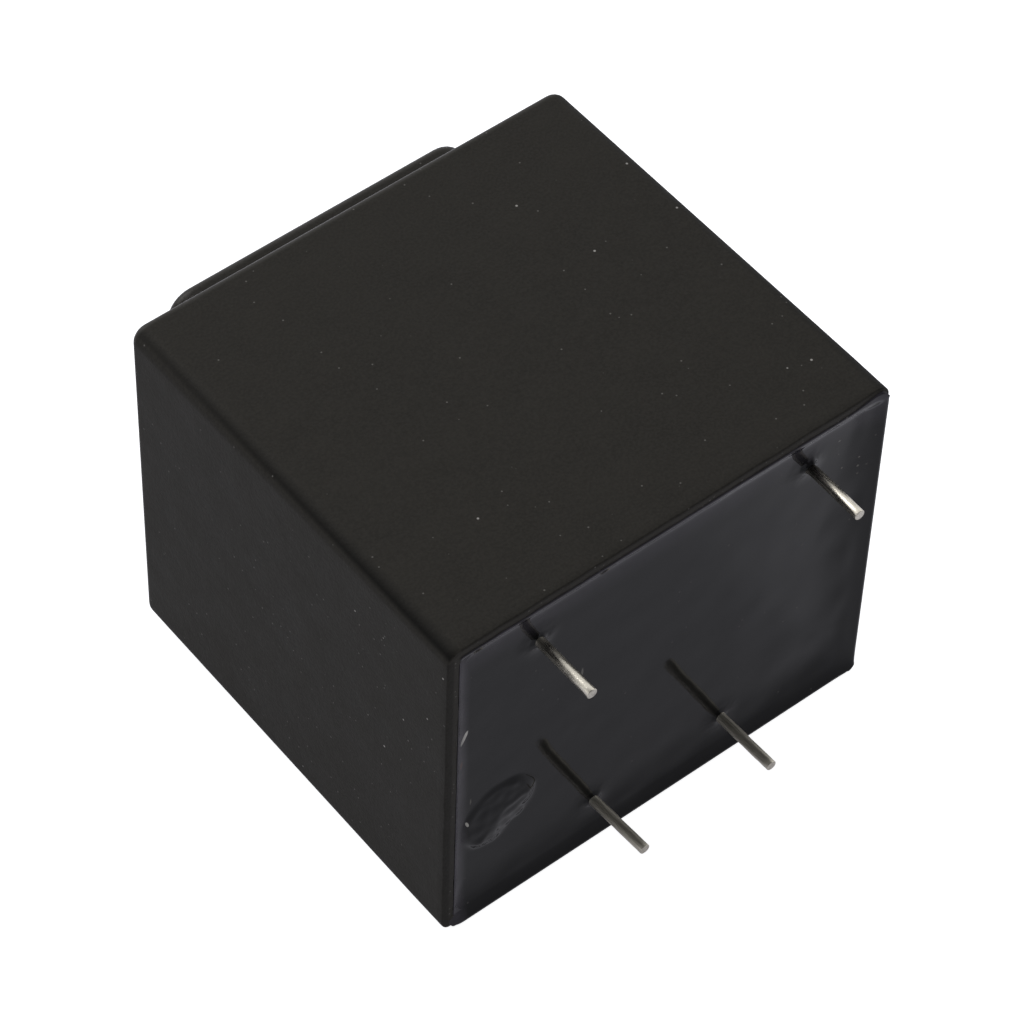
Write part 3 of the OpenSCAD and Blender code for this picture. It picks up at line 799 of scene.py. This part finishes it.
# How far each pin stands off its true place, along the rows and in height in mm: at the resin's
# face, and at its bent tip
STRAIGHT = (0, 0)
BASE_SHIFT = {"primary_pin_1": (0.15, -0.25), "primary_pin_2": (0.14, 0.25)}
TIP_SHIFT = {
    "primary_pin_1": (0.12, -0.18), "primary_pin_2": (-0.14, 0.62),
    "secondary_pin_1": (0.11, 0.07), "secondary_pin_2": (0.01, 0.09),
}
TIP_CHAMFER = 0.04 * MM
TAIL_BANDS = 14
# Length over which a pin turns square, and the radius of the square shank's corners
SQUARING, SHANK_CORNER = 0.02 * MM, 0.03 * MM
# Depth at which the bend of a pin begins
BEND_START = -0.25 * MM


def pin_radius():
    return bpy.context.scene.transformer_pins.radius


def pin_line(node):
    """A pin's middle at the resin face, and how far it leans from there, across the part."""
    low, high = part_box(node)
    middle = (low + high) / 2
    return Vector((middle.x, 0, middle.z)), tuple(part * MM for part in BASE_SHIFT.get(node, STRAIGHT))


class TRANSFORMER_OT_pins(Operator):
    """Builds the four tinned pins with their square shanks"""
    bl_idname = "transformer.pins"
    bl_label = "Pins"

    def execute(self, context):
        pins = context.scene.transformer_pins
        metal = tinned_metal(tuple(pins.tin))
        for number, node in enumerate(PIN_NODES):
            low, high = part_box(node)
            middle = (low + high) / 2
            r, s = pins.radius, pins.shank_half
            rings = quarter(low.y, r, r, r, TIP_CHAMFER, 3, -1)[::-1]
            start = rings[-1].y
            rings += [Ring(start + (pins.shank_from - start) * i / TAIL_BANDS, r, r, r)
                      for i in range(1, TAIL_BANDS + 1)]
            rings += [Ring(y, s, s, SHANK_CORNER) for y in (pins.shank_from + SQUARING, high.y)]
            bm = lofted(Vector((middle.x, 0, middle.z)), rings, pins.corner_steps)
            base, tip = BASE_SHIFT.get(node, STRAIGHT), TIP_SHIFT[node]
            for v in bm.verts:
                if v.co.y < pins.shank_from:
                    share = min(1, (v.co.y - pins.shank_from) / (BEND_START - pins.shank_from))
                    run = max(0, (BEND_START - v.co.y) / (BEND_START - low.y))
                    swell = 1 + 0.04 * noise.noise(v.co / (0.5 * MM) + Vector((number, 0, 0)))
                    shift_x = share * (base[0] + run * (tip[0] - base[0])) * MM
                    shift_z = share * (base[1] + run * (tip[1] - base[1])) * MM
                    v.co.x = middle.x + (v.co.x - middle.x) * swell + shift_x
                    v.co.z = middle.z + (v.co.z - middle.z) * swell + shift_z
            piece = finish_mesh(bm, "tinned_" + node)
            piece.data.materials.append(metal)
            flat_shading(piece)
            settle(piece, "tinned_pin", node)
        return {"FINISHED"}


# Finishes of the nodes that keep their CAD shape

class TRANSFORMER_OT_insides(Operator):
    """Gives the buried coil, core and joints their finishes"""
    bl_idname = "transformer.insides"
    bl_label = "Coil and core"

    def execute(self, context):
        put_on(casting_resin(tuple(context.scene.transformer_resin.resin)), "potting")
        put_on(bobbin_plastic(), "bobbin")
        put_on(sheet_steel(), "e_laminations", "i_laminations")
        fine = wound_copper("fine_wire", 0.3 * MM, (0.30, 0.10, 0.04), (0.74, 0.34, 0.15))
        thick = wound_copper("thick_wire", 0.4 * MM, (0.32, 0.12, 0.05), (0.78, 0.38, 0.18))
        put_on(fine, "primary_winding")
        put_on(thick, "secondary_winding")
        put_on(polyester_tape(), "primary_tape", "secondary_tape")
        put_on(drawn_copper(), "primary_lead_1", "primary_lead_2", "secondary_lead_1", "secondary_lead_2")
        put_on(satin_solder(), "primary_solder_1", "primary_solder_2",
               "secondary_solder_1", "secondary_solder_2")
        return {"FINISHED"}


# The stage

# Directions from the part towards the dim room and towards the lamp, and the lamp's distance and
# width in metres
ROOM_SIDE = (-0.3, -0.75, 0.6)
LAMP_SIDE = (-0.15, 0.85, 0.5)
LAMP_DISTANCE, LAMP_WIDTH = 1.4, 1.2
# The floor's own light, as the camera and as gloss see it
FLOOR_GLOW, FLOOR_GLOSS = 0.85, 0.19
SENSOR_WIDTH = 36


class TRANSFORMER_OT_stage(Operator):
    """Sets the white floor, the soft light and the camera"""
    bl_idname = "transformer.stage"
    bl_label = "Stage"

    def execute(self, context):
        stage = context.scene.transformer_stage
        scene = context.scene
        scene.view_settings.view_transform = "Standard"
        self.floor(stage)
        self.world(scene, stage)
        self.softbox(scene, stage)
        self.camera(scene, stage)
        return {"FINISHED"}

    def floor(self, stage):
        bm = bmesh.new()
        bmesh.ops.create_grid(bm, x_segments=8, y_segments=8, size=stage.floor_half)
        bmesh.ops.translate(bm, verts=bm.verts, vec=(0, 0, CASE_LOW.z))
        floor = finish_mesh(bm, "floor", False)
        n = Nodes("white_floor", Roughness=0.9, Specular_IOR_Level=0.0)
        paper = n.noise(4 * MM, 3)
        colour_1 = n.mix(paper, (0.61, 0.62, 0.67), (0.63, 0.64, 0.69))
        seen = n.new("ShaderNodeLightPath")
        glow = n.math("MULTIPLY", seen.outputs["Is Camera Ray"], FLOOR_GLOW)
        strength = n.math("ADD", glow, n.math("MULTIPLY", seen.outputs["Is Glossy Ray"], FLOOR_GLOSS))
        tint = n.mix(seen.outputs["Is Camera Ray"], (0.96, 0.93, 1.0), (1.0, 1.0, 1.0))
        paint = n.dress(Base_Color=colour_1, Emission_Strength=strength, Emission_Color=tint)
        floor.data.materials.append(paint)

    def world(self, scene, stage):
        """White to the camera and to gloss, but for a dim room in front and above."""
        world = bpy.data.worlds.new("white_surround")
        scene.world = world
        world.use_nodes = True
        tree = world.node_tree

        def node(kind, **settings):
            made = tree.nodes.new(kind)
            for key, value in settings.items():
                setattr(made, key, value)
            return made

        path = node("ShaderNodeLightPath")
        towards = node("ShaderNodeVectorMath", operation="DOT_PRODUCT")
        tree.links.new(node("ShaderNodeTexCoord").outputs["Generated"], towards.inputs[0])
        towards.inputs[1].default_value = Vector(ROOM_SIDE).normalized()
        room = node("ShaderNodeMapRange", interpolation_type="SMOOTHSTEP")
        for key, number in (("From Min", 0.1), ("From Max", 0.7), ("To Min", 1.0), ("To Max", stage.room)):
            room.inputs[key].default_value = number
        tree.links.new(towards.outputs["Value"], room.inputs["Value"])
        gloss = node("ShaderNodeMix")
        gloss.inputs["A"].default_value = stage.daylight
        tree.links.new(path.outputs["Is Glossy Ray"], gloss.inputs["Factor"])
        tree.links.new(room.outputs[0], gloss.inputs["B"])
        seen = node("ShaderNodeMath", operation="MAXIMUM")
        tree.links.new(path.outputs["Is Camera Ray"], seen.inputs[0])
        tree.links.new(path.outputs["Is Transmission Ray"], seen.inputs[1])
        white = node("ShaderNodeMath", operation="MAXIMUM")
        tree.links.new(seen.outputs[0], white.inputs[0])
        tree.links.new(gloss.outputs[0], white.inputs[1])
        sky = tree.nodes["Background"]
        sky.inputs["Color"].default_value = (1, 1, 1, 1)
        tree.links.new(white.outputs[0], sky.inputs["Strength"])

    def softbox(self, scene, stage):
        data = bpy.data.lights.new("softbox", "AREA")
        data.shape, data.size, data.energy = "DISK", LAMP_WIDTH, stage.softbox
        data.color = (1.0, 0.985, 0.96)
        light = bpy.data.objects.new("softbox", data)
        scene.collection.objects.link(light)
        towards = Vector(LAMP_SIDE).normalized()
        turn = towards.to_track_quat("Z", "Y").to_matrix().to_4x4()
        light.matrix_world = Matrix.Translation(towards * LAMP_DISTANCE) @ turn

    def camera(self, scene, stage):
        data = bpy.data.cameras.new("camera")
        data.lens, data.sensor_width = stage.lens, SENSOR_WIDTH
        data.clip_start, data.clip_end = 0.01, 20
        camera = bpy.data.objects.new("camera", data)
        scene.collection.objects.link(camera)
        a, e = stage.azimuth, stage.elevation
        back = Vector((math.sin(a) * math.cos(e), -math.cos(a) * math.cos(e), math.sin(e)))
        target = Vector((stage.target_x, stage.target_y, stage.target_z))
        turn = back.to_track_quat("Z", "Y") @ Quaternion((0, 0, 1), stage.roll)
        camera.matrix_world = Matrix.Translation(target + back * stage.distance) @ turn.to_matrix().to_4x4()
        scene.camera = camera


class TRANSFORMER_PT_panel(Panel):
    """Lists the steps that build the transformer"""
    bl_idname = "TRANSFORMER_PT_panel"
    bl_label = "Transformer"
    bl_space_type = "VIEW_3D"
    bl_region_type = "UI"
    bl_category = "Transformer"

    def draw(self, context):
        for group, operators in SECTIONS:
            box = self.layout.box()
            for operator in operators:
                box.operator(operator.bl_idname)
            sizes = getattr(context.scene, group)
            for name in sizes.bl_rna.properties.keys():
                if name not in ("rna_type", "name"):
                    box.prop(sizes, name)


SECTIONS = (
    ("transformer_cup", (TRANSFORMER_OT_cup,)),
    ("transformer_resin", (TRANSFORMER_OT_resin, TRANSFORMER_OT_insides)),
    ("transformer_pins", (TRANSFORMER_OT_pins,)),
    ("transformer_stage", (TRANSFORMER_OT_stage,)),
)
GROUPS = {
    "transformer_cup": CupSizes,
    "transformer_resin": ResinSizes,
    "transformer_pins": PinSizes,
    "transformer_stage": StageSizes,
}
CLASSES = (*GROUPS.values(), *(o for _, operators in SECTIONS for o in operators), TRANSFORMER_PT_panel)


def register():
    for cls in CLASSES:
        bpy.utils.register_class(cls)
    for name, group in GROUPS.items():
        setattr(bpy.types.Scene, name, PointerProperty(type=group))


def unregister():
    for name in GROUPS:
        delattr(bpy.types.Scene, name)
    for cls in reversed(CLASSES):
        bpy.utils.unregister_class(cls)


def main():
    register()
    bpy.ops.transformer.stage()
    bpy.ops.transformer.cup()
    bpy.ops.transformer.resin()
    bpy.ops.transformer.pins()
    bpy.ops.transformer.insides()


if __name__ == "__main__":
    main()
